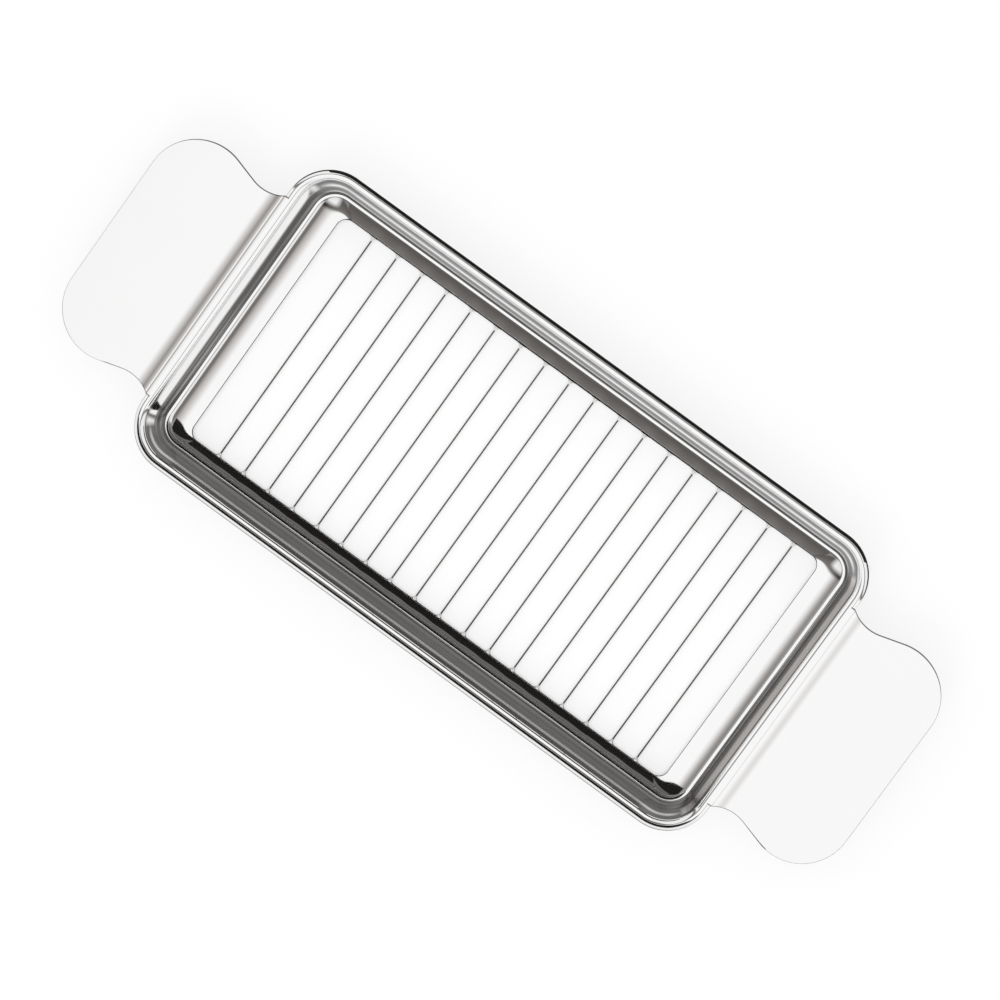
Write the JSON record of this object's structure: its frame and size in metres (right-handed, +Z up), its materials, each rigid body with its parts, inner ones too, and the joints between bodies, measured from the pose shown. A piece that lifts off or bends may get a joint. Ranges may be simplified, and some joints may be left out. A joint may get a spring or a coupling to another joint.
{
  "type": "wire butter slicer",
  "caption": "Shallow stainless tray with an open floor crossed by taut parallel cutting wires, a rolled rim and a flat wing handle at each end.",
  "frame": {"origin": "middle of the slicer on the plane of the foot groove that it stands on", "axes": "+X along the slicer from one wing handle to the other, +Y along the cutting wires, +Z up through the open tray"},
  "size_m": [0.2344, 0.087, 0.0105],
  "materials": {
    "polished_sheet": "mirror-polished stainless sheet",
    "cutting_wire": "drawn stainless wire",
    "joint_metal": "smooth bright fused metal"
  },
  "bodies": {
    "root": {"frame": "polished_sheet", "wire_01": "cutting_wire", "wire_02": "cutting_wire", "wire_03": "cutting_wire", "wire_04": "cutting_wire", "wire_05": "cutting_wire", "wire_06": "cutting_wire", "wire_07": "cutting_wire", "wire_08": "cutting_wire", "wire_09": "cutting_wire", "wire_10": "cutting_wire", "wire_11": "cutting_wire", "wire_12": "cutting_wire", "wire_13": "cutting_wire", "wire_14": "cutting_wire", "wire_15": "cutting_wire", "wire_16": "cutting_wire", "wire_17": "cutting_wire", "wire_18": "cutting_wire", "wire_joints_front": "joint_metal", "wire_joints_back": "joint_metal"}
  },
  "joints": []
}
